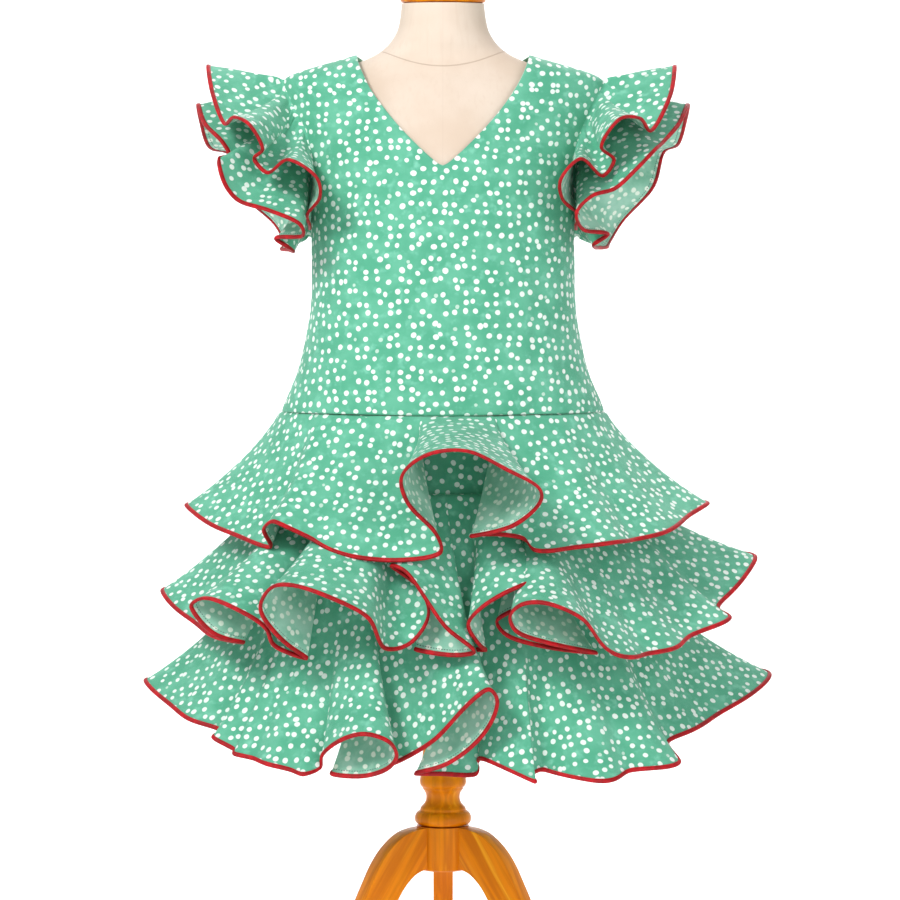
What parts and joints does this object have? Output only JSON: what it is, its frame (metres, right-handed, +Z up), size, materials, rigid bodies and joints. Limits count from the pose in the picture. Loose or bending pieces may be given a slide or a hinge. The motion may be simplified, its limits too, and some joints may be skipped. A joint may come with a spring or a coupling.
{
  "type": "flamenco dress on a limbless dress form stand",
  "caption": "Girl's dotted flamenco dress with a V neck, frilled shoulders and tiered bound flounces, on a limbless dress form with a wooden tripod stand.",
  "frame": {"origin": "on the floor, under the middle of the object's box, within a few millimetres of the stand's axis", "axes": "+Z up along the stand's column; the front of the dress faces -Y; +X is to the right as seen from the front"},
  "size_m": [0.628, 0.536, 1.1284],
  "materials": {
    "dotted_cloth": "mint green cotton poplin with small off-white dots",
    "red_binding": "red bias binding, slight satin sheen",
    "form_linen": "cream linen cover, fine plain weave",
    "varnished_wood": "amber varnished wood, glossy"
  },
  "bodies": {
    "root": {"bodice_front": "dotted_cloth", "bodice_back_left": "dotted_cloth", "bodice_back_right": "dotted_cloth", "skirt_base": "dotted_cloth", "flounce_1": "dotted_cloth", "flounce_2": "dotted_cloth", "flounce_3": "dotted_cloth", "flounce_1_binding": "red_binding", "flounce_2_binding": "red_binding", "flounce_3_binding": "red_binding", "sleeve_left_upper": "dotted_cloth", "sleeve_left_lower": "dotted_cloth", "sleeve_right_upper": "dotted_cloth", "sleeve_right_lower": "dotted_cloth", "sleeve_left_upper_binding": "red_binding", "sleeve_left_lower_binding": "red_binding", "sleeve_right_upper_binding": "red_binding", "sleeve_right_lower_binding": "red_binding", "form_torso": "form_linen", "form_neck_cap": "varnished_wood", "stand_column": "varnished_wood", "stand_hub": "varnished_wood", "leg_front_left": "varnished_wood", "leg_front_right": "varnished_wood", "leg_back": "varnished_wood"}
  },
  "joints": []
}
